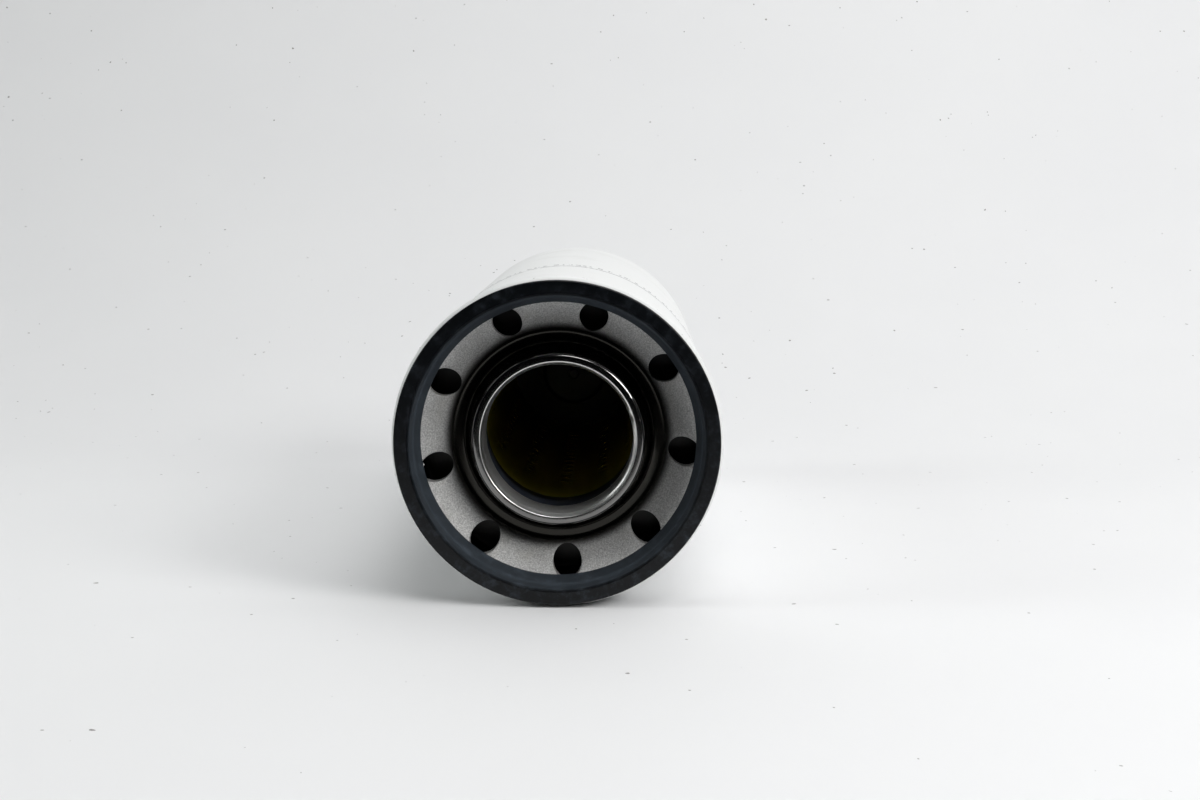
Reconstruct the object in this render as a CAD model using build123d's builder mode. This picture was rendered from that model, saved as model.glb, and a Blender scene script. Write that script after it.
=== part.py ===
from build123d import *
from math import cos, radians, sin
import os

# Heavy-duty spin-on oil filter, lying on its side: millimetres, +Z up.
# The filter's axis is the Y axis. Its open, threaded end faces -Y and its domed end +Y.
# The origin is on the axis, where the full thread begins.

os.makedirs("parts", exist_ok=True)

# ---------------------------------------------------------------- driving dimensions
overall_length = 289.0        # gasket's sealing face to the top of the dome
can_radius = 59.0             # outside of the can's plain wall
seam_radius = 60.0            # outside of the double seam at the open end
can_sheet = 0.8
retainer_sheet = 0.8
plate_sheet = 3.4
cap_sheet = 0.8
tube_sheet = 0.6
valve_sheet = 0.8
layer_gap = 0.05              # between sheets that are rolled or pressed together

thread_minor_radius = 27.43   # 2 1/4-12 UN internal thread
thread_major_radius = 28.58
thread_pitch = 25.4 / 12

# Depths along the axis are measured from the gasket's sealing face, as on a drawing.
gasket_lip_depth = 3.0        # thickness of the gasket's front lip
seam_depth = 3.2              # outer end of the double seam
seam_height = 6.9
retainer_floor_depth = 11.7
hub_mouth_depth = 11.0
valley_depth = 24.0           # front of the plate where it is deepest
hub_end_depth = 30.0
element_front_depth = 35.0
neck_end_depth = 56.0
element_back_depth = 261.0
pad_depth = 283.6             # spring pad's rim, just inside the dome

hub_rim_radius = 31.4
valley_inner_radius = 34.4
valley_outer_radius = 39.6
cone_top_radius = 51.2
plate_edge_radius = 55.4

inlet_count = 9
inlet_first_angle = -6.2      # from +X towards +Z
inlet_centre_radius = 46.4
inlet_half_length = 5.7
inlet_half_width = 5.3

tube_inner_radius = 30.3
media_inner_radius = 31.6
media_outer_radius = 51.2
cap_radius = 53.2
pleat_count = 60
paper = 0.35                  # half of the paper's modelled thickness, added round each fold

perforation_radius = 2.3
perforation_columns = 12
perforation_rows = 14

port_radius = 9.0
stem_radius = 2.5
stem_clearance = 0.06
bypass_wire_radius = 0.7
bypass_coil_radius = 8.5
bypass_turns = 5
element_wire_radius = 1.6
element_coil_radius = 26.0
element_turns = 3

# ---------------------------------------------------------------- derived positions
thread_chamfer = thread_major_radius + 0.15 - thread_minor_radius
thread_start_depth = hub_mouth_depth + thread_chamfer
thread_end_depth = hub_end_depth - thread_chamfer


def at(depth):
    """The Y coordinate of a depth behind the gasket's sealing face."""
    return depth - thread_start_depth


def rz(radius, depth):
    """A point of a section through the axis: radius along X, depth along Y."""
    return (radius, at(depth))


def ring_section(inner, outer, front, back):
    """The four corners of a plain ring's section."""
    return [rz(inner, front), rz(outer, front), rz(outer, back), rz(inner, back)]


def save(name, piece):
    """Label a finished piece and write it under the name of its node."""
    piece.label = name
    export_step(piece, f"parts/{name}.step")


# ---------------------------------------------------------------- canister
# One deep-drawn cup: domed closed end, plain wall, a neck, and a flange hooked into the seam.
wall_inner_radius = can_radius - can_sheet
seam_step = can_sheet + layer_gap
hook_outer_radius = seam_radius - seam_step
neck_inner_radius = seam_radius - 4 * seam_step + layer_gap
seam_fold = 1.3               # length of each fold inside the double seam
can_top_depth = seam_depth + seam_fold
can_hook_end_depth = seam_depth + seam_height - 1.1
plain_wall_depth = 30.0
shoulder_depth = 16.5         # where the plain wall turns in to the neck
neck_depth = 12.0             # where the neck becomes straight
shoulder_bend = 3.0
neck_bend = 2.0
hook_bend = 1.2
dome_radius = 150.0
dome_centre_depth = overall_length - dome_radius
dome_inner_radius = dome_radius - can_sheet
dome_corner_radius = 12.0
dome_edge_depth = dome_centre_depth + (dome_inner_radius**2 - wall_inner_radius**2) ** 0.5

with BuildPart() as canister:
    with BuildSketch(Plane.XY):
        with BuildLine():
            RadiusArc(
                rz(0, overall_length - can_sheet),
                rz(wall_inner_radius, dome_edge_depth),
                dome_inner_radius,
            )
            Line(rz(wall_inner_radius, dome_edge_depth), rz(wall_inner_radius, plain_wall_depth))
            wall_corner = vertices().sort_by_distance(rz(wall_inner_radius, dome_edge_depth))[0]
            fillet(wall_corner, radius=dome_corner_radius)
            FilletPolyline(
                rz(wall_inner_radius, plain_wall_depth),
                rz(wall_inner_radius, shoulder_depth),
                rz(neck_inner_radius, neck_depth),
                rz(neck_inner_radius, can_top_depth),
                rz(hook_outer_radius, can_top_depth),
                rz(hook_outer_radius, can_hook_end_depth),
                radius=(shoulder_bend, neck_bend, hook_bend, hook_bend),
            )
            offset(amount=can_sheet, side=Side.LEFT)
        make_face()
    revolve(axis=Axis.Y)
save("canister", canister.part)

# ---------------------------------------------------------------- gasket retainer
# A pressed ring: a floor under the gasket, a wall, and a curl that locks round the can's flange.
chuck_wall_radius = seam_radius - 5 * seam_step + layer_gap
cover_hook_radius = seam_radius - 3 * seam_step + layer_gap
retainer_inner_radius = 52.4
retainer_bend = 1.0
seam_bend = 1.9

with BuildPart() as gasket_retainer:
    with BuildSketch(Plane.XY):
        with BuildLine():
            FilletPolyline(
                rz(retainer_inner_radius, retainer_floor_depth),
                rz(chuck_wall_radius, retainer_floor_depth),
                rz(chuck_wall_radius, seam_depth),
                rz(seam_radius, seam_depth),
                rz(seam_radius, seam_depth + seam_height),
                rz(cover_hook_radius, seam_depth + seam_height),
                rz(cover_hook_radius, can_top_depth + seam_fold),
                radius=(retainer_bend, seam_bend, seam_bend, hook_bend, hook_bend),
            )
            offset(amount=retainer_sheet, side=Side.RIGHT)
        make_face()
    revolve(axis=Axis.Y)
save("gasket_retainer", gasket_retainer.part)

# ---------------------------------------------------------------- seam compound
# The ring of sealing compound that fills the top of the double seam.
compound_front_depth = seam_depth + retainer_sheet + 2 * layer_gap
with BuildPart() as seam_compound:
    with BuildSketch(Plane.XY):
        Polygon(
            *ring_section(
                cover_hook_radius,
                cover_hook_radius + can_sheet,
                compound_front_depth,
                can_top_depth - layer_gap,
            ),
            align=None,
        )
    revolve(axis=Axis.Y)
save("seam_compound", seam_compound.part)

# ---------------------------------------------------------------- mounting gasket
# Flat sealing face, front lip over the seam, deep body in the retainer, and a sloping inner wall
# that ends on the plate.
gasket_outer_radius = seam_radius - 1.1
gasket_fit = 0.2              # radial gap between the gasket's body and the retainer
gasket_body_radius = chuck_wall_radius - gasket_fit
gasket_foot_radius = retainer_inner_radius - gasket_fit
gasket_floor_depth = retainer_floor_depth - 0.1
gasket_foot_depth = retainer_floor_depth + 0.7
gasket_toe_depth = retainer_floor_depth + 1.2
face_inner_radius = 54.3
face_bevel = (53.5, 1.6)      # radius and depth where the face's bevel meets the slope
slope_crease = (52.6, 6.2)
slope_foot = (52.3, 7.0)
gasket_bore_radius = 50.4
gasket_outer_round = 0.6
gasket_floor_round = 1.4
gasket_lip_round = 0.3

with BuildPart() as mounting_gasket:
    with BuildSketch(Plane.XY) as gasket_section:
        Polygon(
            rz(gasket_outer_radius, 0),
            rz(gasket_outer_radius, gasket_lip_depth),
            rz(gasket_body_radius, gasket_lip_depth),
            rz(gasket_body_radius, gasket_floor_depth),
            rz(gasket_foot_radius, gasket_floor_depth),
            rz(gasket_foot_radius, gasket_foot_depth),
            rz(gasket_bore_radius, gasket_toe_depth),
            rz(gasket_bore_radius, retainer_floor_depth),
            rz(*slope_foot),
            rz(*slope_crease),
            rz(*face_bevel),
            rz(face_inner_radius, 0),
            align=None,
        )
        outer_corners = gasket_section.vertices().filter_by(
            lambda v: v.X > gasket_outer_radius - gasket_fit
        )
        fillet(outer_corners, radius=gasket_outer_round)
        floor_corner = gasket_section.vertices().sort_by_distance(
            rz(gasket_body_radius, retainer_floor_depth)
        )[0]
        fillet(floor_corner, radius=gasket_floor_round)
        lip_corner = gasket_section.vertices().sort_by_distance(
            rz(gasket_bore_radius, retainer_floor_depth)
        )[0]
        fillet(lip_corner, radius=gasket_lip_round)
    revolve(axis=Axis.Y)
save("mounting_gasket", mounting_gasket.part)

# ---------------------------------------------------------------- nut plate
# A thick drawn plate: a flat flange behind the retainer, a cone with the inlet holes, a valley,
# and a hub that rises towards the open end and carries the thread.
flange_depth = retainer_floor_depth + retainer_sheet + layer_gap
flange_bend = 5.0
valley_bend = 4.5
hub_rim_round = 1.4
hub_root_round = 2.4
hub_end_bevel = 2.0
plate_hub_overlap = 1.5       # how far the sheet's section runs into the hub's

groove_depth = thread_major_radius - thread_minor_radius
groove_mouth = 0.75 * thread_pitch
groove_root = 0.125 * thread_pitch
groove_lead = 0.3             # how far the cutter's section stands out of the bore's wall
groove_flank = (groove_mouth - groove_root) / 2 / groove_depth
cutter_half_width = groove_mouth / 2 + groove_flank * groove_lead
thread_run_out = 0.4          # how far the cutter runs past each face of the hub
bevel_overlap = 0.5

with BuildPart() as nut_plate:
    with BuildSketch(Plane.XY) as plate_section:
        with BuildLine():
            FilletPolyline(
                rz(plate_edge_radius, flange_depth),
                rz(cone_top_radius, flange_depth),
                rz(valley_outer_radius, valley_depth),
                rz(valley_inner_radius - plate_hub_overlap, valley_depth),
                radius=(flange_bend, valley_bend),
            )
            offset(amount=plate_sheet, side=Side.RIGHT)
        make_face()
        Polygon(
            rz(thread_minor_radius, hub_mouth_depth),
            rz(hub_rim_radius, hub_mouth_depth),
            rz(valley_inner_radius, valley_depth),
            rz(valley_inner_radius, hub_end_depth - hub_end_bevel),
            rz(valley_inner_radius - hub_end_bevel, hub_end_depth),
            rz(thread_minor_radius, hub_end_depth),
            align=None,
        )
        corners = plate_section.vertices()
        rim_corner = corners.sort_by_distance(rz(hub_rim_radius, hub_mouth_depth))[0]
        fillet(rim_corner, radius=hub_rim_round)
        corners = plate_section.vertices()
        root_corner = corners.sort_by_distance(rz(valley_inner_radius, valley_depth))[0]
        fillet(root_corner, radius=hub_root_round)
    revolve(axis=Axis.Y)

    # Nine oval inlets, punched straight through the cone along the axis.
    with BuildSketch(Plane.XZ.offset(-at(valley_depth + 2 * plate_sheet))):
        with PolarLocations(inlet_centre_radius, inlet_count, start_angle=inlet_first_angle):
            Ellipse(inlet_half_length, inlet_half_width)
    extrude(amount=valley_depth, mode=Mode.SUBTRACT)

    # The thread groove is cut right through the plain bore.
    with BuildLine() as thread_path:
        thread_helix = Helix(
            pitch=thread_pitch,
            height=hub_end_depth - hub_mouth_depth + 2 * thread_run_out,
            radius=thread_minor_radius,
            center=(0, at(hub_mouth_depth) - thread_run_out, 0),
            direction=(0, 1, 0),
        )
    groove_plane = Plane(
        origin=thread_helix @ 0,
        x_dir=Vector((thread_helix @ 0).X, 0, (thread_helix @ 0).Z),
        z_dir=thread_helix % 0,
    )
    with BuildSketch(groove_plane):
        Polygon(
            (-groove_lead, -cutter_half_width),
            (-groove_lead, cutter_half_width),
            (groove_depth, groove_root / 2),
            (groove_depth, -groove_root / 2),
            align=None,
        )
    sweep(path=thread_path.line, is_frenet=True, mode=Mode.SUBTRACT)

    # The bevel at each mouth is cut last, and leaves the crests as the bored wall.
    inner = thread_minor_radius - bevel_overlap
    outer = thread_minor_radius + thread_chamfer + bevel_overlap
    with BuildSketch(Plane.XY):
        Polygon(
            rz(inner, hub_mouth_depth - bevel_overlap),
            rz(outer, hub_mouth_depth - bevel_overlap),
            rz(inner, thread_start_depth + bevel_overlap),
            align=None,
        )
        Polygon(
            rz(inner, hub_end_depth + bevel_overlap),
            rz(outer, hub_end_depth + bevel_overlap),
            rz(inner, thread_end_depth - bevel_overlap),
            align=None,
        )
    revolve(axis=Axis.Y, mode=Mode.SUBTRACT)
save("nut_plate", nut_plate.part)

# ---------------------------------------------------------------- hub seal
# A rubber grommet: a flange squeezed between the hub and the element, and a sleeve in its neck.
seal_front_depth = hub_end_depth + 2 * layer_gap
sleeve_radius = thread_minor_radius + 1.0
neck_radius = tube_inner_radius - 0.9
neck_bend_radius = 1.4
seal_flange_radius = 38.0
seal_bevel = 1.0
seal_sleeve_end_depth = element_front_depth + 9.0
seal_fit = 0.1

with BuildPart() as hub_seal:
    with BuildSketch(Plane.XY) as seal_section:
        Polygon(
            rz(sleeve_radius, seal_front_depth),
            rz(seal_flange_radius - seal_bevel, seal_front_depth),
            rz(seal_flange_radius, seal_front_depth + seal_bevel),
            rz(seal_flange_radius, element_front_depth - layer_gap),
            rz(neck_radius - seal_fit, element_front_depth - layer_gap),
            rz(neck_radius - seal_fit, seal_sleeve_end_depth),
            rz(sleeve_radius, seal_sleeve_end_depth),
            align=None,
        )
        corners = seal_section.vertices()
        inner_corner = corners.sort_by_distance(rz(neck_radius, element_front_depth))[0]
        fillet(inner_corner, radius=neck_bend_radius + seal_fit)
    revolve(axis=Axis.Y)
save("hub_seal", hub_seal.part)

# ---------------------------------------------------------------- element end caps
# The front cap is a drawn ring: rim round the pleats, flat disc, and a neck inside the tube.
cap_rim_height = 8.0
cap_bend = 2.0
with BuildPart() as top_end_cap:
    with BuildSketch(Plane.XY):
        with BuildLine():
            FilletPolyline(
                rz(cap_radius, element_front_depth + cap_rim_height),
                rz(cap_radius, element_front_depth),
                rz(neck_radius, element_front_depth),
                rz(neck_radius, neck_end_depth),
                radius=(cap_bend, neck_bend_radius),
            )
            offset(amount=cap_sheet, side=Side.RIGHT)
        make_face()
    revolve(axis=Axis.Y)
save("top_end_cap", top_end_cap.part)

# The back cap is a shallow cup with a hole that the bypass seat is pressed into.
seat_outer_radius = 15.8
seat_bend_radius = 0.6
with BuildPart() as bottom_end_cap:
    with BuildSketch(Plane.XY):
        with BuildLine():
            FilletPolyline(
                rz(cap_radius, element_back_depth - cap_rim_height),
                rz(cap_radius, element_back_depth),
                rz(seat_outer_radius + seat_bend_radius + layer_gap, element_back_depth),
                radius=cap_bend,
            )
            offset(amount=cap_sheet, side=Side.LEFT)
        make_face()
    revolve(axis=Axis.Y)
save("bottom_end_cap", bottom_end_cap.part)

# ---------------------------------------------------------------- centre tube
tube_front_depth = element_front_depth + 1.6
tube_back_depth = element_back_depth - cap_sheet - layer_gap
plain_front = 56.0            # unperforated length at each end of the tube
plain_back = 14.0
holes_front_depth = tube_front_depth + plain_front
holes_back_depth = tube_back_depth - plain_back
perforation_pitch = (holes_back_depth - holes_front_depth) / perforation_rows
holes_middle_depth = (holes_front_depth + holes_back_depth) / 2
column_angle = 360 / perforation_columns

with BuildPart() as center_tube:
    with BuildSketch(Plane.XY):
        Polygon(
            *ring_section(
                tube_inner_radius, tube_inner_radius + tube_sheet, tube_front_depth, tube_back_depth
            ),
            align=None,
        )
    revolve(axis=Axis.Y)
    for column in range(perforation_columns // 2):
        stagger = perforation_pitch / 4 if column % 2 else -perforation_pitch / 4
        with BuildSketch(Plane.XY.rotated((0, column * column_angle, 0))):
            with Locations((0, at(holes_middle_depth) + stagger)):
                with GridLocations(1, perforation_pitch, 1, perforation_rows):
                    Circle(perforation_radius)
        extrude(amount=can_radius, both=True, mode=Mode.SUBTRACT)
save("center_tube", center_tube.part)

# ---------------------------------------------------------------- pleated media
potting_depth = 5.0           # from a cap's face to the ends of the paper
media_front_depth = element_front_depth + potting_depth
media_back_depth = element_back_depth - potting_depth
media_length = media_back_depth - media_front_depth
pleat_angle = 360 / pleat_count


def pleat_outline(tip_radius, tip_half_width, root_radius, root_half_width):
    """The closed zigzag of a pleated pack, with a narrow flat at each fold."""
    outline = []
    for pleat in range(pleat_count):
        middle = pleat * pleat_angle + 90
        half_tip = tip_half_width / tip_radius
        half_root = root_half_width / root_radius
        root = radians(middle + pleat_angle / 2)
        corners = [
            (tip_radius, radians(middle) - half_tip),
            (tip_radius, radians(middle) + half_tip),
            (root_radius, root - half_root),
            (root_radius, root + half_root),
        ]
        outline += [(radius * cos(angle), radius * sin(angle)) for radius, angle in corners]
    return outline


fold_half_width = 1.0
root_half_width = 0.25
with BuildPart() as pleated_media:
    with BuildSketch(Plane.XZ.offset(-at(media_front_depth))):
        Polygon(
            *pleat_outline(
                media_outer_radius, fold_half_width, media_inner_radius + 2 * paper, root_half_width
            ),
            align=None,
        )
        Polygon(
            *pleat_outline(
                media_outer_radius - 2 * paper,
                fold_half_width - paper,
                media_inner_radius,
                root_half_width + paper,
            ),
            align=None,
            mode=Mode.SUBTRACT,
        )
    extrude(amount=-media_length)
save("pleated_media", pleated_media.part)

# ---------------------------------------------------------------- pleat clip
# A steel channel, crimped along the fold where the two ends of the paper meet, at the top.
clip_inner_half_width = fold_half_width + 0.15
clip_sheet = 0.4
clip_outer_half_width = clip_inner_half_width + clip_sheet
clip_leg_radius = media_outer_radius - 3.0
clip_seat_radius = media_outer_radius + 0.1
with BuildPart() as pleat_clip:
    with BuildSketch(Plane.XZ.offset(-at(media_front_depth))):
        Polygon(
            (-clip_outer_half_width, clip_leg_radius),
            (-clip_outer_half_width, clip_seat_radius + clip_sheet),
            (clip_outer_half_width, clip_seat_radius + clip_sheet),
            (clip_outer_half_width, clip_leg_radius),
            (clip_inner_half_width, clip_leg_radius),
            (clip_inner_half_width, clip_seat_radius),
            (-clip_inner_half_width, clip_seat_radius),
            (-clip_inner_half_width, clip_leg_radius),
            align=None,
        )
    extrude(amount=-media_length)
save("pleat_clip", pleat_clip.part)

# ---------------------------------------------------------------- pleat beads
# Rings of hot-melt adhesive round the folds, broken where the clip runs.
bead_count = 5
bead_width = 2.0
bead_inner_radius = media_outer_radius + 0.02
bead_outer_radius = media_outer_radius + 1.1
bead_break = 2 * clip_outer_half_width + 1.0
bead_break_height = 8.0
bead_pitch = media_length / (bead_count + 1)
with BuildPart() as pleat_beads:
    for bead in range(1, bead_count + 1):
        bead_depth = media_front_depth + bead * bead_pitch
        with BuildSketch(Plane.XY):
            Polygon(
                *ring_section(
                    bead_inner_radius,
                    bead_outer_radius,
                    bead_depth - bead_width / 2,
                    bead_depth + bead_width / 2,
                ),
                align=None,
            )
    revolve(axis=Axis.Y)
    with Locations((0, at(media_front_depth) + media_length / 2, media_outer_radius)):
        Box(bead_break, media_length, bead_break_height, mode=Mode.SUBTRACT)
save("pleat_beads", pleat_beads.part)

# ---------------------------------------------------------------- potting
# Adhesive between each cap and the ends of the paper, round the tube.
potting_inner_radius = tube_inner_radius + tube_sheet + layer_gap
potting_outer_radius = cap_radius - cap_sheet - layer_gap
tube_fillet_clearance = 0.6
cap_face_depth = element_front_depth + cap_sheet + layer_gap
cap_corner_depth = element_front_depth + cap_sheet + cap_bend
with BuildPart() as top_potting:
    with BuildSketch(Plane.XY):
        Polygon(
            rz(potting_inner_radius + tube_fillet_clearance, cap_face_depth),
            rz(potting_outer_radius - cap_bend, cap_face_depth),
            rz(potting_outer_radius, cap_corner_depth),
            rz(potting_outer_radius, media_front_depth),
            rz(potting_inner_radius, media_front_depth),
            rz(potting_inner_radius, cap_corner_depth),
            align=None,
        )
    revolve(axis=Axis.Y)
save("top_potting", top_potting.part)

with BuildPart() as bottom_potting:
    with BuildSketch(Plane.XY):
        Polygon(
            rz(potting_inner_radius, media_back_depth),
            rz(potting_outer_radius, media_back_depth),
            rz(potting_outer_radius, element_back_depth - cap_sheet - cap_bend),
            rz(potting_outer_radius - cap_bend, tube_back_depth),
            rz(potting_inner_radius, tube_back_depth),
            align=None,
        )
    revolve(axis=Axis.Y)
save("bottom_potting", bottom_potting.part)

# ---------------------------------------------------------------- bypass valve
# The seat is a pressed cup in the back cap, with a port in its floor and a flange outside.
seat_flange_depth = element_back_depth + layer_gap
seat_floor_depth = element_back_depth - 4.8
seat_flange_radius = 21.0
port_bend = 1.2
with BuildPart() as bypass_seat:
    with BuildSketch(Plane.XY):
        with BuildLine():
            FilletPolyline(
                rz(seat_flange_radius, seat_flange_depth),
                rz(seat_outer_radius, seat_flange_depth),
                rz(seat_outer_radius, seat_floor_depth),
                rz(port_radius, seat_floor_depth),
                radius=(seat_bend_radius, port_bend),
            )
            offset(amount=valve_sheet, side=Side.RIGHT)
        make_face()
    revolve(axis=Axis.Y)
save("bypass_seat", bypass_seat.part)

# The poppet is a turned plate on a stem. Its rubber ring closes the port from the clean side.
ring_depth = seat_floor_depth - 2 * layer_gap
ring_thickness = 1.3
plate_back_depth = ring_depth - ring_thickness
plate_thickness = 1.6
plate_front_depth = plate_back_depth - plate_thickness
stem_length = 28.0
stem_end_depth = plate_front_depth - stem_length
stem_bevel = 0.5
poppet_radius = 13.2
pilot_radius = port_radius - 1.0
pilot_bevel = 0.6
with BuildPart() as bypass_poppet:
    with BuildSketch(Plane.XY):
        Polygon(
            rz(0, stem_end_depth),
            rz(stem_radius - stem_bevel, stem_end_depth),
            rz(stem_radius, stem_end_depth + stem_bevel),
            rz(stem_radius, plate_front_depth),
            rz(poppet_radius, plate_front_depth),
            rz(poppet_radius, plate_back_depth),
            rz(pilot_radius, plate_back_depth),
            rz(pilot_radius - pilot_bevel, ring_depth),
            rz(0, ring_depth),
            align=None,
        )
    revolve(axis=Axis.Y)
save("bypass_poppet", bypass_poppet.part)

ring_inner_radius = pilot_radius + 0.2
ring_outer_radius = poppet_radius - 0.6
ring_front_depth = plate_back_depth + 0.02
with BuildPart() as poppet_seal:
    with BuildSketch(Plane.XY):
        Polygon(
            *ring_section(ring_inner_radius, ring_outer_radius, ring_front_depth, ring_depth),
            align=None,
        )
    revolve(axis=Axis.Y)
save("poppet_seal", poppet_seal.part)

# The cage is a cup with four windows. Its floor guides the stem and carries the spring.
cage_wall_radius = 15.2
cage_length = 24.0
cage_floor_depth = plate_front_depth - cage_length
cage_flange_depth = seat_floor_depth - layer_gap
cage_flange_width = 2.6
cage_bend = 2.4
cage_flange_bend = 0.6
window_width = 12.0
window_length = 14.0
window_round = 2.0
with BuildPart() as bypass_cage:
    with BuildSketch(Plane.XY):
        with BuildLine():
            FilletPolyline(
                rz(stem_radius + stem_clearance, cage_floor_depth),
                rz(cage_wall_radius, cage_floor_depth),
                rz(cage_wall_radius, cage_flange_depth - valve_sheet),
                rz(cage_wall_radius + cage_flange_width, cage_flange_depth - valve_sheet),
                radius=(cage_bend, cage_flange_bend),
            )
            offset(amount=valve_sheet, side=Side.LEFT)
        make_face()
    revolve(axis=Axis.Y)
    for turn in (0, 90):
        with BuildSketch(Plane.XY.rotated((0, turn, 0))):
            with Locations((0, at((cage_floor_depth + cage_flange_depth) / 2))):
                RectangleRounded(window_width, window_length, window_round)
        extrude(amount=can_radius, both=True, mode=Mode.SUBTRACT)
save("bypass_cage", bypass_cage.part)


def coil(front_depth, back_depth, turns, coil_radius, wire_radius):
    """A helical spring's path and the plane across its start, between two seats."""
    wire_length = back_depth - front_depth - 2 * wire_radius - 2 * layer_gap
    path = Edge.make_helix(
        wire_length / turns,
        wire_length,
        coil_radius,
        center=(0, at(front_depth) + wire_radius + layer_gap, 0),
        normal=(0, 1, 0),
    )
    return path, Plane(origin=path @ 0, z_dir=path % 0)


bypass_path, bypass_start = coil(
    cage_floor_depth + valve_sheet,
    plate_front_depth,
    bypass_turns,
    bypass_coil_radius,
    bypass_wire_radius,
)
with BuildPart() as bypass_spring:
    with BuildSketch(bypass_start):
        Circle(bypass_wire_radius)
    sweep(path=bypass_path, is_frenet=True)
save("bypass_spring", bypass_spring.part)

# ---------------------------------------------------------------- element spring and its seats
cup_front_depth = element_back_depth + layer_gap
cup_wall_radius = 22.0
cup_wall_height = 4.0
cup_flange_radius = 30.0
cup_bend = 1.4
with BuildPart() as spring_cup:
    with BuildSketch(Plane.XY):
        with BuildLine():
            FilletPolyline(
                rz(cup_wall_radius, cup_front_depth + cup_wall_height),
                rz(cup_wall_radius, cup_front_depth),
                rz(cup_flange_radius, cup_front_depth),
                radius=cup_bend,
            )
            offset(amount=cap_sheet, side=Side.LEFT)
        make_face()
    revolve(axis=Axis.Y)
save("spring_cup", spring_cup.part)

# The pad's raised middle centres the spring, and its rim bears on the dome.
pad_rise = 4.0
pad_top_radius = 19.5
pad_foot_radius = 23.2
pad_rim_radius = 31.0
pad_top_bend = 1.5
pad_foot_bend = 2.2
with BuildPart() as spring_pad:
    with BuildSketch(Plane.XY):
        with BuildLine():
            FilletPolyline(
                rz(0, pad_depth - pad_rise),
                rz(pad_top_radius, pad_depth - pad_rise),
                rz(pad_foot_radius, pad_depth),
                rz(pad_rim_radius, pad_depth),
                radius=(pad_top_bend, pad_foot_bend),
            )
            offset(amount=cap_sheet, side=Side.LEFT)
        make_face()
    revolve(axis=Axis.Y)
save("spring_pad", spring_pad.part)

element_path, element_start = coil(
    cup_front_depth + cap_sheet,
    pad_depth,
    element_turns,
    element_coil_radius,
    element_wire_radius,
)
with BuildPart() as element_spring:
    with BuildSketch(element_start):
        Circle(element_wire_radius)
    sweep(path=element_path, is_frenet=True)
save("element_spring", element_spring.part)

print("thread wall, mm:", round(thread_end_depth - thread_start_depth, 3))
print("nut plate, mm3:", round(nut_plate.part.volume, 1))
print("sealing face y, mm:", round(at(0), 3))
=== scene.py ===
# %% [markdown]
# # A heavy-duty spin-on oil filter, one step at a time
#
# The filter is a deep-drawn steel can, painted white, with a thick threaded plate and a black
# rubber gasket in its open end. The engineering model already holds every piece at its real size
# and place. Here each piece gets the surface that it has on the bench, and the thread plate, whose
# finish depends on fine edges, is made again in mesh code.
#
# All lengths are metres. The filter's axis is the Y axis, and its open end faces -Y.

import math

import bmesh
import bpy
from mathutils import Euler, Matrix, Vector


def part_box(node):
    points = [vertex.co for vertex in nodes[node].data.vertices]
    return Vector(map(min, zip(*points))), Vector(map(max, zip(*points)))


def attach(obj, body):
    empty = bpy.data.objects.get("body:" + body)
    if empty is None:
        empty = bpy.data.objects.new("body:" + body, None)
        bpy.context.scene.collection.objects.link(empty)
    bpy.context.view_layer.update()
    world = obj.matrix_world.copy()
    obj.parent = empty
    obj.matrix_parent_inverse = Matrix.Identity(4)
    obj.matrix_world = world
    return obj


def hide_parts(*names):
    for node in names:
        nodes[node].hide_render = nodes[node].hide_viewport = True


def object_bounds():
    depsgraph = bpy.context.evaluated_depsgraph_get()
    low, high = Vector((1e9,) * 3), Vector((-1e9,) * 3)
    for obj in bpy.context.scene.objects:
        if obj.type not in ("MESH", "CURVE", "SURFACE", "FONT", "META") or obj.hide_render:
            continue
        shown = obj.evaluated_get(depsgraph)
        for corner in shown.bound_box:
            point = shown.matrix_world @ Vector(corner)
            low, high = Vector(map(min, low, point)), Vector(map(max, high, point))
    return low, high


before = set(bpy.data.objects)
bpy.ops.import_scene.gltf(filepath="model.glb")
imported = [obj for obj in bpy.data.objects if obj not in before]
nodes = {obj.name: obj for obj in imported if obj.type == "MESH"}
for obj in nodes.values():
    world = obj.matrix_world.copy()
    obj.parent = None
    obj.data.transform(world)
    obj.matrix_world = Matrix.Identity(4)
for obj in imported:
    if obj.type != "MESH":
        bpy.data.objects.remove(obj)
cad_low, cad_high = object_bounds()
mm = 0.001
print("pieces in the frame:", len(nodes))

# %% [markdown]
# ## Where things are
#
# Every position below is measured from the frame: the gasket's flat face is the datum that a
# filter drawing uses, so depths along the axis are given in millimetres behind it.

# %% Datum and levels
face_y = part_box("mounting_gasket")[0].y
floor_z = cad_low.z
closed_end_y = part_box("canister")[1].y


def behind_face(depth_mm):
    """The Y coordinate of a depth behind the sealing face."""
    return face_y + depth_mm * mm


print("sealing face at y =", round(face_y, 5), "floor at z =", round(floor_z, 5))

# %% [markdown]
# ## The camera
#
# A filter on its side is usually shown end on, so that the thread and the inlets can be read. The
# lens is a short telephoto that stands a little above the axis and a hand's width from centre,
# which lets the top of the can show behind the gasket. A camera could be aimed at a target with a
# constraint, but plain angles keep the horizon level and are easy to read back.

# %% Camera
lens_mm = 54.1
sensor_mm = 36.0
stand_off = 0.6387
off_centre = 0.0234
above_axis = 0.0976
look_down = math.radians(7.27)
look_left = math.radians(0.716)

camera_data = bpy.data.cameras.new("camera")
camera_data.sensor_width = sensor_mm
camera_data.lens = lens_mm
camera_data.clip_start = 0.01
camera_data.clip_end = 20
camera = bpy.data.objects.new("camera", camera_data)
camera.location = (off_centre, face_y - stand_off, above_axis)
camera.rotation_euler = Euler((math.pi / 2 - look_down, 0, look_left))
bpy.context.scene.collection.objects.link(camera)
bpy.context.scene.camera = camera
print("camera to sealing face:", round(face_y - camera.location.y, 4), "m")

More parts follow.
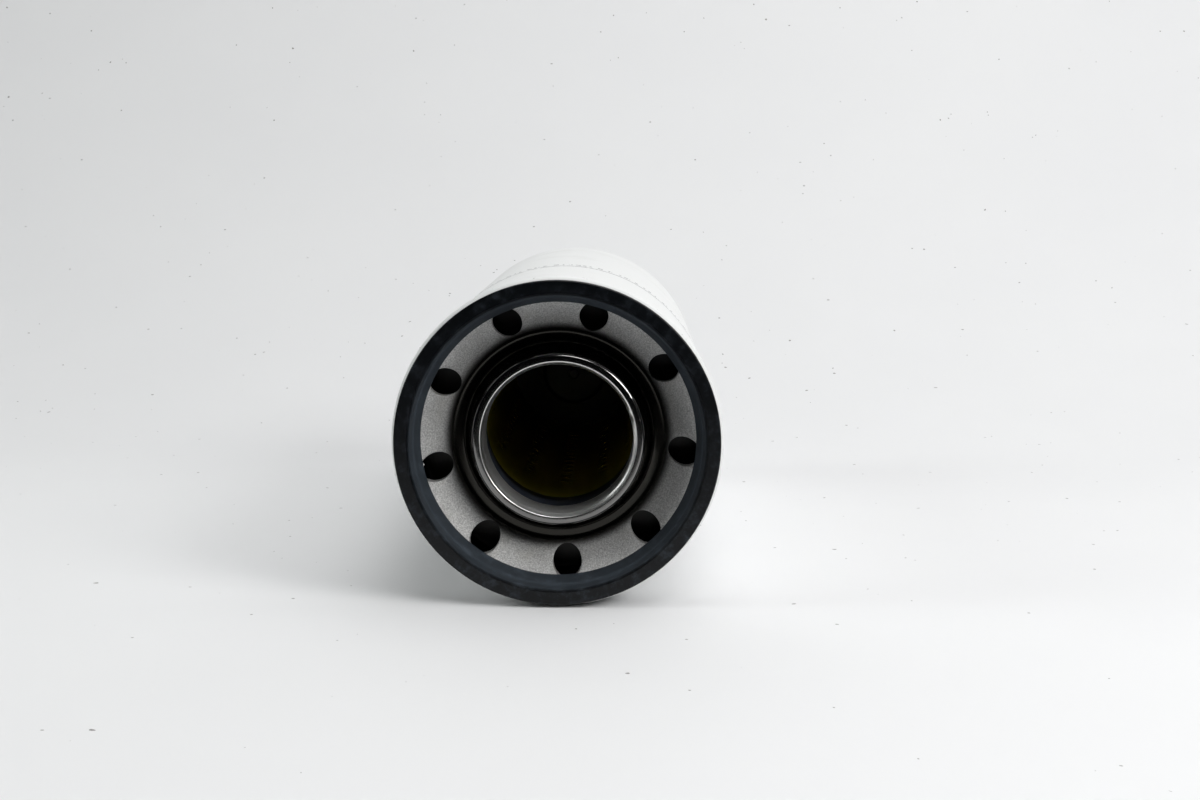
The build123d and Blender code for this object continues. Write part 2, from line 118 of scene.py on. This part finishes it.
# %% [markdown]
# ## Shader sums as ordinary Python
#
# Node trees are easier to read as formulas. `Wire` wraps one socket: adding or multiplying wires
# adds the Math nodes, and `node` adds any other node from its type, its settings and its inputs.

# %% Wire
class Wire:
    """A socket of a material's node tree that can be used in sums like a number."""

    def __init__(self, tree, socket=None):
        self.tree = tree
        self.socket = socket

    def node(self, kind, settings=None, inputs=None, output=0):
        """Add a node: its settings are set first, then its sockets get values or links."""
        made = self.tree.nodes.new(kind)
        for name, value in (settings or {}).items():
            setattr(made, name, value)
        for name, value in (inputs or {}).items():
            if isinstance(value, Wire):
                self.tree.links.new(value.socket, made.inputs[name])
            else:
                made.inputs[name].default_value = value
        return Wire(self.tree, made.outputs[output])

    def maths(self, operation, *values):
        """One Math node."""
        return self.node("ShaderNodeMath", {"operation": operation}, dict(enumerate(values)))

    def __add__(self, other):
        return self.maths("ADD", self, other)

    def __radd__(self, other):
        return self.maths("ADD", other, self)

    def __sub__(self, other):
        return self.maths("SUBTRACT", self, other)

    def __rsub__(self, other):
        return self.maths("SUBTRACT", other, self)

    def __mul__(self, other):
        return self.maths("MULTIPLY", self, other)

    def __rmul__(self, other):
        return self.maths("MULTIPLY", other, self)

    def __pow__(self, other):
        return self.maths("POWER", self, other)


# %% [markdown]
# ## Where a point lies on a turned part
#
# Everything in a spin-on filter was drawn, turned or rolled about one axis, so its marks run
# round that axis. Each material therefore starts from a point's radius, its angle round the
# axis and its depth along it, rather than from an unwrapped texture.

# %% Cylindrical coordinates and patterns
class Surface:
    """The coordinates that a turned part's patterns are written in, in millimetres."""

    def __init__(self, tree):
        self.start = Wire(tree)
        self.place = self.start.node("ShaderNodeTexCoord", output="Object")
        split = tree.nodes.new("ShaderNodeSeparateXYZ")
        tree.links.new(self.place.socket, split.inputs[0])
        across, along, up = (Wire(tree, split.outputs[name]) for name in "XYZ")
        self.across = across * (1 / mm)
        self.up = up * (1 / mm)
        self.depth = (along - face_y) * (1 / mm)
        self.radius = (self.across * self.across + self.up * self.up) ** 0.5
        self.angle = self.start.maths("ARCTAN2", up, across)

    def larger(self, a, b):
        return self.start.maths("MAXIMUM", a, b)

    def noise(self, place, scale, detail, roughness, seed):
        """Blender's noise at a place, from 0 to 1; each seed gives another pattern."""
        return self.start.node(
            "ShaderNodeTexNoise",
            {"noise_dimensions": "4D"},
            {
                "Vector": place,
                "W": seed,
                "Scale": scale,
                "Detail": detail,
                "Roughness": roughness,
            },
            output="Fac",
        )

    def cloud(self, scale_mm, detail=3.0, roughness=0.55, seed=0.0):
        """Soft blotches about scale_mm across."""
        return self.noise(self.place, 1 / (scale_mm * mm), detail, roughness, seed)

    def streaks(self, width_mm, length_turns, seed=0.0, detail=4.0):
        """Marks that run round the axis: narrow along the section, long round the ring."""
        wrapped_x = self.start.maths("COSINE", self.angle) * (1 / length_turns)
        wrapped_z = self.start.maths("SINE", self.angle) * (1 / length_turns)
        section = (self.radius + self.depth) * (1 / width_mm)
        wrapped = self.start.node(
            "ShaderNodeCombineXYZ", inputs={"X": wrapped_x, "Y": section, "Z": wrapped_z}
        )
        return self.noise(wrapped, 1.0, detail, 0.6, seed)

    def step(self, value, low, high):
        """0 at low, 1 at high, smooth between; low may be the larger one."""
        return self.start.node(
            "ShaderNodeMapRange",
            {"interpolation_type": "SMOOTHSTEP"},
            {"Value": value, "From Min": low, "From Max": high},
        )

    def band(self, value, centre, full, gone):
        """1 where value is within full of centre, and 0 from gone on."""
        return self.step(self.start.maths("ABSOLUTE", value - centre), gone, full)

    def blend(self, mask, colour_a, colour_b):
        """colour_a where the mask is 0 and colour_b where it is 1."""
        return self.start.node(
            "ShaderNodeMix", {"data_type": "RGBA"}, {0: mask, 6: colour_a, 7: colour_b}, output=2
        )

    def bump(self, height, distance_mm):
        """A Bump node: height times distance_mm is the relief's real size."""
        relief = {"Height": height, "Distance": distance_mm * mm, "Strength": 1.0}
        return self.start.node("ShaderNodeBump", inputs=relief)


def rgb(red, green, blue):
    return (red, green, blue, 1.0)


def material(name, recipe, **constants):
    """Make a material: recipe(surface) returns what varies, and constants set plain sockets."""
    made = bpy.data.materials.new(name)
    made.use_nodes = True
    tree = made.node_tree
    shader = tree.nodes["Principled BSDF"]
    for socket, value in constants.items():
        shader.inputs[socket.replace("_", " ")].default_value = value
    for socket, wire in recipe(Surface(tree)).items():
        tree.links.new(wire.socket, shader.inputs[socket])
    print("material", name, "-", len(tree.nodes), "nodes")
    return made


# %% [markdown]
# ## White enamel
#
# The can is sprayed with a baked white enamel after it is seamed. Sprayed enamel isn't flat: it
# has a faint orange peel, a little dust in it, and dull rubbed patches where the filter was
# handled. The can's inside stays bare steel. It is picked by its radius, which also takes in the
# outside of the neck under the seam and leaves a dark ring there. A thin grey line and a row of
# short marks are printed round the can near its open end. Printing could be a texture wrapped
# round the can; here it is two bands of depth, and a noise that only changes with the angle
# breaks one of them into marks.

# %% White enamel
print_depth = 94.0
marks_depth = print_depth + 9.0
marks_per_turn = 26.0
inner_wall_radius = 58.4
outer_wall_radius = 58.75
bare_front_depth = 5.0
bare_full_depth = 7.0
bare_fading_depth = 200.0
bare_back_depth = 210.0
seam_edge_radius = 59.2
seam_outer_radius = 59.9
seam_chip_depth = 9.5
seam_back_depth = 11.0


def enamel_recipe(s):
    peel = s.cloud(2.6, detail=2.0)
    fine_peel = s.cloud(0.7, detail=2.0, seed=4.0)
    handling = s.step(s.cloud(38.0, detail=5.0, seed=2.0), 0.50, 0.72)
    dust = s.step(s.cloud(0.9, detail=1.0, seed=7.0), 0.735, 0.76)
    line = s.band(s.depth, print_depth, full=1.1, gone=1.5)
    marks_row = s.band(s.depth, marks_depth, full=2.2, gone=2.6)
    mark_noise = s.start.node(
        "ShaderNodeTexNoise",
        {"noise_dimensions": "1D"},
        {"W": s.angle * marks_per_turn, "Scale": 1.0, "Detail": 1.0},
        output="Fac",
    )
    marks = marks_row * s.step(mark_noise, 0.52, 0.54)
    worn = s.step(s.cloud(1.6, detail=3.0, seed=9.0), 0.36, 0.46)
    ink = s.larger(line, marks * 0.8) * worn
    white = s.blend(handling * 0.5, rgb(0.80, 0.81, 0.805), rgb(0.74, 0.745, 0.73))
    printed = s.blend(ink * 0.85, white, rgb(0.10, 0.105, 0.12))
    seam_wall = s.step(s.radius, seam_edge_radius, seam_outer_radius)
    seam_edge = seam_wall * s.step(s.depth, seam_back_depth, seam_chip_depth)
    chips = seam_edge * s.step(s.cloud(1.4, detail=4.0, seed=12.0), 0.66, 0.69)
    painted = s.blend(s.larger(chips, dust * 0.35), printed, rgb(0.20, 0.19, 0.175))
    inner_wall = s.step(s.radius, outer_wall_radius, inner_wall_radius)
    bare_from_front = inner_wall * s.step(s.depth, bare_front_depth, bare_full_depth)
    inside = bare_from_front * s.step(s.depth, bare_back_depth, bare_fading_depth)
    colour = s.blend(inside, painted, rgb(0.055, 0.055, 0.058))
    relief = peel * 0.7 + fine_peel * 0.3 - chips * 0.6
    return {
        "Base Color": colour,
        "Roughness": 0.38 + handling * 0.16 + chips * 0.3 + ink * 0.1,
        "Normal": s.bump(relief, 0.003),
    }


white_enamel = material(
    "white_enamel", enamel_recipe, Coat_Weight=0.12, Coat_Roughness=0.22, IOR=1.4
)

# %% [markdown]
# ## Gasket rubber
#
# The gasket is moulded nitrile: nearly black, dull, with a blue-grey bloom on its sloping inner
# wall where it can't be wiped. The mould leaves fine rings, and handling leaves pale smears. The
# smears are painted heavier towards the bottom, which is a painted sheen that lightens the face's
# lower side. A lighter band at the crease between the slope's two facets is a painted highlight.

# %% Gasket rubber
slope_outer_radius = 54.4
slope_inner_radius = 53.6
slope_start_depth = 0.5
slope_full_depth = 2.2
crease_radius = 52.5
# Where the painted sheen on the gasket's lower side starts and where it is full, in mm above the
# axis.
lower_sheen_starts = -10.0
lower_sheen_full = -56.0


def gasket_recipe(s):
    behind_the_face = s.step(s.depth, slope_start_depth, slope_full_depth)
    slope = behind_the_face * s.step(s.radius, slope_outer_radius, slope_inner_radius)
    rings = s.streaks(0.55, 0.35, detail=5.0)
    wide_rings = s.streaks(1.6, 0.25, seed=6.0, detail=3.0)
    smears = s.step(s.cloud(6.0, detail=8.0, roughness=0.78, seed=3.0), 0.47, 0.70)
    specks = s.step(s.cloud(0.45, detail=1.0, seed=8.0), 0.71, 0.76)
    # A lighter band at the crease between the slope's two facets: a painted highlight.
    crease_highlight = s.band(s.radius, crease_radius, full=0.1, gone=0.5) * slope
    # The smears are made heavier towards the bottom: a painted sheen that lightens the face's
    # lower side.
    lower_side_sheen = s.step(s.up, lower_sheen_starts, lower_sheen_full)
    # The slope's bloom and rings are real; the crease band added here is a painted highlight.
    slope_bloom_and_crease_highlight = slope * (0.25 + rings * 0.30 + wide_rings * 0.35) + crease_highlight * 0.25
    # This mixes the real bloom, smears and specks with the painted crease highlight and the
    # painted lower-side sheen.
    pale_mix = slope_bloom_and_crease_highlight * 0.85 + smears * (0.34 + lower_side_sheen * 0.26) + specks * 0.25
    colour = s.blend(pale_mix, rgb(0.0014, 0.0020, 0.0030), rgb(0.046, 0.058, 0.072))
    relief = rings * 0.6 + s.cloud(0.35, detail=2.0, seed=5.0) * 0.4
    return {
        "Base Color": colour,
        "Roughness": 0.30 + pale_mix * 0.50,
        "Normal": s.bump(relief, 0.05),
    }


gasket_rubber = material("gasket_rubber", gasket_recipe, Specular_IOR_Level=0.28)

# %% [markdown]
# ## Seal rubber
#
# The hub seal and the valve's seal are a softer rubber that never leaves the oil. They are bluer
# and a little shinier than the gasket, so they get a recipe of their own instead of a copy of it.

# %% Seal rubber
def seal_recipe(s):
    rings = s.streaks(0.4, 0.5, seed=2.0)
    pale_mix = s.step(s.cloud(5.0, detail=5.0, seed=6.0), 0.40, 0.75) * 0.5 + rings * 0.3
    return {
        "Base Color": s.blend(pale_mix, rgb(0.008, 0.010, 0.016), rgb(0.050, 0.060, 0.085)),
        "Roughness": 0.42 + pale_mix * 0.2,
        "Normal": s.bump(rings, 0.04),
    }


seal_rubber = material("seal_rubber", seal_recipe, Specular_IOR_Level=0.45)

# %% [markdown]
# ## The thread plate's steel
#
# The plate is pressed from thick bright sheet, tumbled, and dipped in a thin rust-preventive oil.
# The flat areas keep a fine satin grain, the drawn bends are rubbed smoother by the die, and the
# tapped thread is the brightest surface of the filter. Painted shade darkens the rest. The
# die-rubbed zone gets a darker steel colour, the valley round the hub is painted nearly black, and
# the thread's grooves are darkened. The zones could be separate materials on separate faces, but a
# finish changes gradually across a bend. One material covers them all, and the radius decides.

# %% Plate steel
thread_crest_radius = 27.7
thread_root_radius = 28.2
tapped_radius = 28.7
bevel_radius = 29.1
valley_inner_radius = 32.6
valley_shade_inner_radius = 34.2
polished_radius = 39.0
valley_shade_outer_radius = 39.6
satin_radius = 41.5
valley_outer_radius = 43.2
mouth_depth = 12.4
first_turn_depth = 13.0


def plate_recipe(s):
    grain = s.cloud(0.55, detail=4.0, roughness=0.75)
    sand = s.step(grain, 0.34, 0.66)
    mottle = s.cloud(6.0, detail=5.0, roughness=0.6, seed=3.0)
    rings = s.streaks(0.45, 0.6, seed=1.0)
    tapped = s.step(s.radius, bevel_radius, tapped_radius)
    below_crest = s.step(s.radius, thread_crest_radius, thread_root_radius)
    # The thread's grooves are darkened between the turns: painted shade.
    painted_groove_shade = below_crest * s.step(s.depth, mouth_depth, first_turn_depth) * tapped
    die_rubbed_and_shaded = s.step(s.radius, satin_radius, polished_radius)
    # The valley round the hub is painted nearly black: painted shade for the deep channel that
    # little light reaches.
    valley_outside = s.step(s.radius, valley_outer_radius, valley_shade_outer_radius)
    painted_valley_shade = valley_outside * s.step(s.radius, valley_inner_radius, valley_shade_inner_radius)
    satin = 1 - die_rubbed_and_shaded
    stain = s.step(s.cloud(14.0, detail=6.0, seed=6.0), 0.52, 0.74)
    scratch = s.step(s.streaks(0.22, 2.2, seed=9.0, detail=2.0), 0.70, 0.73) * satin
    bare = s.blend(sand * 0.75 + mottle * 0.25, rgb(0.30, 0.30, 0.297), rgb(0.80, 0.80, 0.79))
    oiled = s.blend(stain * 0.35, bare, rgb(0.42, 0.41, 0.36))
    # The die-rubbed zone's smoother finish is real, and its darker steel colour is painted shade
    # for the dark hub.
    oiled_with_rubbed_shade = s.blend(die_rubbed_and_shaded, oiled, rgb(0.20, 0.197, 0.193))
    valley_shaded = s.blend(painted_valley_shade, oiled_with_rubbed_shade, rgb(0.030, 0.029, 0.026))
    crest = s.blend(tapped, valley_shaded, rgb(0.86, 0.86, 0.845))
    colour = s.blend(painted_groove_shade * 0.5, crest, rgb(0.10, 0.098, 0.094))
    rough = 0.60 + (grain - 0.5) * 0.16 + (mottle - 0.5) * 0.10 + scratch * 0.1
    polished = 0.15 + (rings - 0.5) * 0.10
    relief = sand * satin + rings * die_rubbed_and_shaded * 0.12 - scratch * 0.3
    return {
        "Base Color": colour,
        "Roughness": rough * satin + polished * die_rubbed_and_shaded + tapped * 0.16,
        "Normal": s.bump(relief, 0.09),
    }


plate_steel = material("plate_steel", plate_recipe, Metallic=1.0)

# %% [markdown]
# ## Pressed sheet, spring wire and yellow zinc
#
# The caps and valve parts are plain cold-rolled sheet, with drawing marks round the axis, coloured
# nearly black. On the caps this is painted shade for the dark inside seen through the inlets, and
# the valve parts are as dark. The springs are oil-tempered wire, darker and smoother. The centre
# tube is zinc plated and dipped in a yellow passivate, whose film shifts between straw and a
# greener gold from place to place.

# %% Steel sheet, wire and zinc
def sheet_recipe(low, high, rough):
    def recipe(s):
        rings = s.streaks(0.7, 0.4, seed=4.0)
        mottle = s.cloud(7.0, detail=5.0, seed=1.0)
        grain = s.cloud(0.4, detail=2.0, seed=5.0)
        tone = rings * 0.35 + mottle * 0.65
        return {
            "Base Color": s.blend(tone, low, high),
            "Roughness": rough + (mottle - 0.5) * 0.2 + (grain - 0.5) * 0.08,
            "Normal": s.bump(rings * 0.6 + grain * 0.4, 0.02),
        }

    return recipe


# The caps' nearly black colour is painted shade for the filter's dark inside; the valve sheet is
# as dark.
shaded_cap_sheet = sheet_recipe(rgb(0.030, 0.030, 0.032), rgb(0.075, 0.073, 0.070), 0.42)
dark_valve_sheet = sheet_recipe(rgb(0.035, 0.035, 0.037), rgb(0.085, 0.083, 0.080), 0.40)
tempered_wire = sheet_recipe(rgb(0.11, 0.11, 0.115), rgb(0.24, 0.235, 0.23), 0.30)
cap_steel = material("cap_steel", shaded_cap_sheet, Metallic=1.0)
valve_steel = material("valve_steel", dark_valve_sheet, Metallic=1.0)
spring_wire = material("spring_wire", tempered_wire, Metallic=1.0)


def zinc_recipe(s):
    film = s.cloud(11.0, detail=5.0, roughness=0.6, seed=2.0)
    grain = s.cloud(0.5, detail=2.0, seed=3.0)
    return {
        "Base Color": s.blend(film, rgb(0.40, 0.32, 0.02), rgb(0.48, 0.44, 0.04)),
        "Roughness": 0.44 + (film - 0.5) * 0.2 + (grain - 0.5) * 0.1,
        "Normal": s.bump(grain, 0.03),
    }


yellow_zinc = material("yellow_zinc", zinc_recipe, Metallic=0.4)

# %% [markdown]
# ## Paper, adhesive and seam compound
#
# Filter paper is resin-treated cellulose: fibrous, matt and pale brown. The potting and the
# beads are cured plastisol, a little glossy and brick coloured, and the seam compound is a dry
# grey rubber solution.

# %% Soft inner materials
def paper_recipe(s):
    fibre = s.cloud(0.45, detail=6.0, roughness=0.75)
    patch = s.cloud(15.0, detail=3.0, seed=2.0)
    return {
        "Base Color": s.blend(
            fibre * 0.6 + patch * 0.4, rgb(0.42, 0.30, 0.12), rgb(0.66, 0.54, 0.29)
        ),
        "Roughness": 0.86 + (fibre - 0.5) * 0.12,
        "Normal": s.bump(fibre, 0.10),
    }


def plastisol_recipe(low, high, rough):
    def recipe(s):
        lumps = s.cloud(2.5, detail=3.0)
        tone = s.cloud(9.0, detail=4.0, seed=3.0)
        return {
            "Base Color": s.blend(tone, low, high),
            "Roughness": rough + (lumps - 0.5) * 0.2,
            "Normal": s.bump(lumps, 0.12),
        }

    return recipe


filter_paper = material("filter_paper", paper_recipe)
plastisol = material(
    "plastisol", plastisol_recipe(rgb(0.22, 0.08, 0.04), rgb(0.33, 0.14, 0.07), 0.42)
)
compound = material(
    "compound", plastisol_recipe(rgb(0.10, 0.10, 0.09), rgb(0.18, 0.17, 0.15), 0.8)
)

# %% [markdown]
# ## A finish for every piece
#
# The engineering model's pieces keep their meshes, because stamped and moulded parts are exactly
# the shapes that it holds. Only their material slot changes. The list is written by finish rather
# than by piece, so that one look shows which pieces are made of the same stuff.

# %% Give each CAD piece its finish
finishes = {
    white_enamel: ("canister", "gasket_retainer"),
    gasket_rubber: ("mounting_gasket",),
    seal_rubber: ("hub_seal", "poppet_seal"),
    plate_steel: ("nut_plate",),
    cap_steel: ("top_end_cap", "bottom_end_cap", "pleat_clip", "spring_cup", "spring_pad"),
    valve_steel: ("bypass_seat", "bypass_poppet", "bypass_cage"),
    spring_wire: ("bypass_spring", "element_spring"),
    yellow_zinc: ("center_tube",),
    filter_paper: ("pleated_media",),
    plastisol: ("pleat_beads", "top_potting", "bottom_potting"),
    compound: ("seam_compound",),
}
for finish, names in finishes.items():
    for name in names:
        nodes[name].data.materials.clear()
        nodes[name].data.materials.append(finish)
print("finished pieces:", sum(len(names) for names in finishes.values()))

# %% [markdown]
# ## Burnished edges on the thread plate
#
# Where the punch came through the cone and where the bevel starts at the hub's mouth, the steel
# has a narrow turned edge that always catches some light. A modelled corner is perfectly sharp
# and never glints, so the plate is copied and only those edges get a small round. A Bevel
# modifier would also round the thread, so the edges are chosen by their place instead.

# %% Edges to round
crease_angle = math.radians(30)
shading_angle = math.radians(32)
punched_round_mm = 0.30
mouth_round_mm = 0.15


inlets_inner_radius = 38.5
inlets_outer_radius = 53.5
inlets_back_y = behind_face(27.0)
mouth_edge_inner_radius = 28.4
mouth_edge_outer_radius = 29.0
mouth_edge_back_y = behind_face(11.2)


def is_punched_edge(middle, radius_mm):
    """The inlets' rims on the side of the cone that faces out."""
    return inlets_inner_radius < radius_mm < inlets_outer_radius and middle.y < inlets_back_y


def is_mouth_edge(middle, radius_mm):
    """The rim of the bevel at the hub's mouth."""
    in_ring = mouth_edge_inner_radius < radius_mm < mouth_edge_outer_radius
    return in_ring and middle.y < mouth_edge_back_y


print("rounds:", punched_round_mm, "mm at the inlets and", mouth_round_mm, "mm at the mouth")

# %% Thread plate with rounded edges
def round_edges(name, source, choices):
    """Copy a CAD piece and round the creases that each (test, width in mm) choice picks."""
    shape = bmesh.new()
    shape.from_mesh(nodes[source].data)
    bmesh.ops.remove_doubles(shape, verts=shape.verts, dist=1e-6)
    for chosen, width_mm in choices:
        creases = []
        for edge in shape.edges:
            if len(edge.link_faces) == 2 and edge.calc_face_angle() > crease_angle:
                middle = (edge.verts[0].co + edge.verts[1].co) / 2
                if chosen(middle, math.hypot(middle.x, middle.z) / mm):
                    creases.append(edge)
        bmesh.ops.bevel(
            shape,
            geom=creases,
            offset=width_mm * mm,
            offset_type="OFFSET",
            segments=3,
            profile=0.5,
            affect="EDGES",
        )
        print(name, "- edges rounded:", len(creases))
    for face in shape.faces:
        face.smooth = True
    mesh = bpy.data.meshes.new(name)
    shape.to_mesh(mesh)
    shape.free()
    mesh.set_sharp_from_angle(angle=shading_angle)
    made = bpy.data.objects.new(name, mesh)
    bpy.context.scene.collection.objects.link(made)
    return made


thread_plate = round_edges(
    "thread_plate",
    "nut_plate",
    [(is_punched_edge, punched_round_mm), (is_mouth_edge, mouth_round_mm)],
)
thread_plate.data.materials.append(plate_steel)
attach(thread_plate, "housing")
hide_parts("nut_plate")

# %% [markdown]
# ## The studio
#
# A white filter on white needs light from all round, but its bare metal needs something dark to
# reflect, or it looks like plastic. The sweep behind and below is pale, large soft lights stand
# above and to the sides, and the room behind the camera stays dark.

# %% Floor and backdrop
sweep_half_width = 3.0
sweep_front_y = -0.27
sweep_bend_y = closed_end_y + 0.08
sweep_bend_radius = 0.7
sweep_top_z = 3.0
sweep_bend_steps = 24


def sweep_outline():
    """The side view of a floor that curves up into a backdrop."""
    outline = [(sweep_front_y, floor_z), (sweep_bend_y, floor_z)]
    for step in range(1, sweep_bend_steps + 1):
        turn = step / sweep_bend_steps * math.pi / 2
        back = sweep_bend_radius * math.sin(turn)
        rise = sweep_bend_radius * (1 - math.cos(turn))
        outline.append((sweep_bend_y + back, floor_z + rise))
    outline.append((sweep_bend_y + sweep_bend_radius, sweep_top_z))
    return outline


def paper_sweep():
    """The outline drawn out sideways into a sheet."""
    mesh = bpy.data.meshes.new("paper_sweep")
    shape = bmesh.new()
    sides = []
    for x in (-sweep_half_width, sweep_half_width):
        sides.append([shape.verts.new((x, y, z)) for y, z in sweep_outline()])
    left, right = sides
    for index in range(len(left) - 1):
        shape.faces.new((left[index], right[index], right[index + 1], left[index + 1]))
    for face in shape.faces:
        face.smooth = True
    shape.to_mesh(mesh)
    shape.free()
    made = bpy.data.objects.new("paper_sweep", mesh)
    bpy.context.scene.collection.objects.link(made)
    print("paper sweep faces:", len(mesh.polygons))
    return made


def sweep_recipe(s):
    tone = s.cloud(160.0, detail=3.0)
    lint = s.step(s.cloud(3.0, detail=0.0, seed=5.0), 0.852, 0.858)
    white = s.blend(tone, rgb(0.80, 0.805, 0.815), rgb(0.84, 0.845, 0.85))
    return {
        "Base Color": s.blend(lint * 0.8, white, rgb(0.15, 0.14, 0.13)),
        "Roughness": 0.62 + (tone - 0.5) * 0.1,
        "Normal": s.bump(s.cloud(1.2, detail=4.0, seed=3.0), 0.02),
    }


sweep = paper_sweep()
sweep.data.materials.append(material("sweep_paper", sweep_recipe, Specular_IOR_Level=0.25))

# %% [markdown]
# ## The lights
#
# The large overhead box fills the floor and the can's top. The key on the right models the cone
# and draws the glint in the thread, the box on the left opens the shadow, and two small boxes in
# front reach the gasket's slope and the thread's flanks. Area lights are used, because a point
# lamp would leave hard dots on the polished hub.

# %% Lights
neutral = (1.0, 1.0, 1.0)
warm = (1.0, 0.99, 0.975)
cool_green = (0.97, 1.0, 0.98)
plate_centre = (0, 0, 0)
can_centre = Vector((0.0, (face_y + closed_end_y) / 2, 0.0))


def soft_light(name, place, target, size, power, colour=neutral):
    """A soft box of a size (width, height) at place that faces target."""
    data = bpy.data.lights.new(name, "AREA")
    data.shape = "RECTANGLE"
    data.size, data.size_y = size
    data.energy = power
    data.color = colour
    made = bpy.data.objects.new(name, data)
    made.location = place
    facing = Vector(target) - Vector(place)
    made.rotation_euler = facing.to_track_quat("-Z", "Y").to_euler()
    bpy.context.scene.collection.objects.link(made)
    print(name, "-", power, "W,", round(facing.length, 2), "m away")


soft_light("overhead_light", (0.35, 0.0, 1.45), can_centre, size=(1.6, 1.2), power=12.8)
soft_light("front_light", (0.25, -1.0, 1.25), plate_centre, size=(0.5, 0.4), power=3.0)
soft_light("key_light", (1.1, -0.70, 0.85), plate_centre, size=(0.5, 0.5), power=8.0, colour=warm)
soft_light("right_front_light", (0.75, -0.80, 0.60), plate_centre, size=(0.3, 0.3), power=3.0)
soft_light(
    "left_light", (-1.3, -0.10, 0.65), plate_centre, size=(0.5, 0.7), power=5.5, colour=cool_green
)
soft_light("backdrop_light", (0.9, 0.1, 1.0), (0.35, 1.3, 0.25), size=(0.5, 0.4), power=2.5)

# %% The dark room
room_strength = 0.004
world = bpy.data.worlds.new("dark_room")
world.use_nodes = True
background = world.node_tree.nodes["Background"]
background.inputs["Color"].default_value = rgb(0.85, 0.9, 1.0)
background.inputs["Strength"].default_value = room_strength
bpy.context.scene.world = world
bpy.context.scene.view_settings.view_transform = "Standard"
print("room strength:", room_strength)

# %% [markdown]
# ## The engineering model's size
#
# The engineering model's box is measured and written down, because a number shows a slip that the
# eye would miss.

print("CAD box:", [round(v, 4) for v in (*cad_low, *cad_high)])
